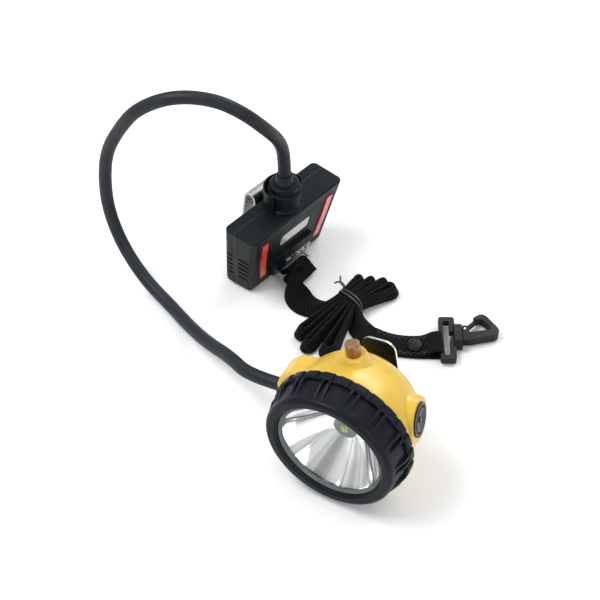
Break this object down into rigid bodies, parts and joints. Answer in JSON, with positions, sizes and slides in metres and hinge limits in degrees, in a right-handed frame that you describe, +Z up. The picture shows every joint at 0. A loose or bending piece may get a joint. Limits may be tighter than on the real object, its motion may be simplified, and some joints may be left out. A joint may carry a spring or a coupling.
{
  "type": "miner's cap lamp",
  "caption": "Cap lamp with a round headpiece, stiff power cord, rear battery pack, steel clips and a bundled webbing lanyard with a swivel snap hook.",
  "frame": {"origin": "on the standing surface, under the middle of the box round headpiece, pack and strap", "axes": "-Y is the way the lamp shines, +X is the headpiece's switch side, +Z is up"},
  "size_m": [0.2423, 0.1843, 0.1467],
  "materials": {
    "yellow_housing": "semi-gloss moulded",
    "bezel_rubber": "satin moulded",
    "pack_plastic": "fine-textured moulded",
    "switch_plastic": "satin",
    "hook_plastic": "satin moulded",
    "red_plastic": "translucent gloss",
    "window_plastic": "gloss",
    "tie_plastic": "coated wire",
    "seal_rubber": "matte",
    "cord_rubber": "smooth matte sheath",
    "webbing": "woven",
    "lens_glass": "clear polished",
    "reflector_metal": "vacuum-plated",
    "aluminium": "turned",
    "brass": "worn, turned",
    "steel": "brushed",
    "board": "solder resist",
    "led": "phosphor under silicone",
    "cell_wrap": "shrink sleeve"
  },
  "bodies": {
    "root": {"bezel_ring": "bezel_rubber", "lens": "lens_glass", "lens_gasket": "seal_rubber", "reflector": "reflector_metal", "heat_sink": "aluminium", "led_board": "board", "led_emitter": "led", "driver_board": "board", "lamp_housing": "yellow_housing", "switch_ring": "switch_plastic", "switch_spring": "steel", "switch_body": "switch_plastic", "charge_contact": "brass", "contact_nut": "brass", "lamp_grommet": "cord_rubber", "lamp_clip": "steel", "lamp_clip_screws": "steel", "pack_front_shell": "pack_plastic", "pack_rear_shell": "pack_plastic", "pack_gasket": "cord_rubber", "warning_lens_left": "red_plastic", "warning_lens_right": "red_plastic", "display_window": "window_plastic", "display_module": "board", "battery_cells": "cell_wrap", "protection_board": "board", "gland_body": "pack_plastic", "gland_nut": "pack_plastic", "gland_sleeve": "cord_rubber", "gland_shroud": "pack_plastic", "pack_clip": "steel", "pack_clip_screws": "steel", "case_screws": "steel", "anchor_plate": "steel", "anchor_screws": "steel", "strap_ring": "steel", "power_cord": "cord_rubber", "strap_webbing": "webbing", "twist_tie": "tie_plastic", "snap_fastener": "hook_plastic", "swivel_base": "hook_plastic"},
    "switch": {"switch_button": "switch_plastic"},
    "snap_hook": {"hook_body": "hook_plastic", "gate_pin": "steel"},
    "hook_gate": {"hook_gate": "hook_plastic"}
  },
  "joints": [
    {"name": "switch_press", "type": "slide", "parent": "root", "child": "switch", "axis": [-0.9727, -0.1564, -0.1715], "range_m": [0, 0.0015], "stiffness_N_per_m": 900, "springref_m": -0.0004, "deforming": ["switch_spring"]},
    {"name": "hook_swivel", "type": "hinge", "parent": "root", "child": "snap_hook", "pos_m": [0.06102, 0.04621, 0.0041], "axis": [0.8771, 0.4802, 0], "continuous": true},
    {"name": "gate_hinge", "type": "hinge", "parent": "snap_hook", "child": "hook_gate", "pos_m": [0.06052, 0.05129, 0.0041], "axis": [0, 0, -1], "range_deg": [0, 25], "stiffness_Nm_per_rad": 0.02, "springref_deg": -5.73}
  ]
}
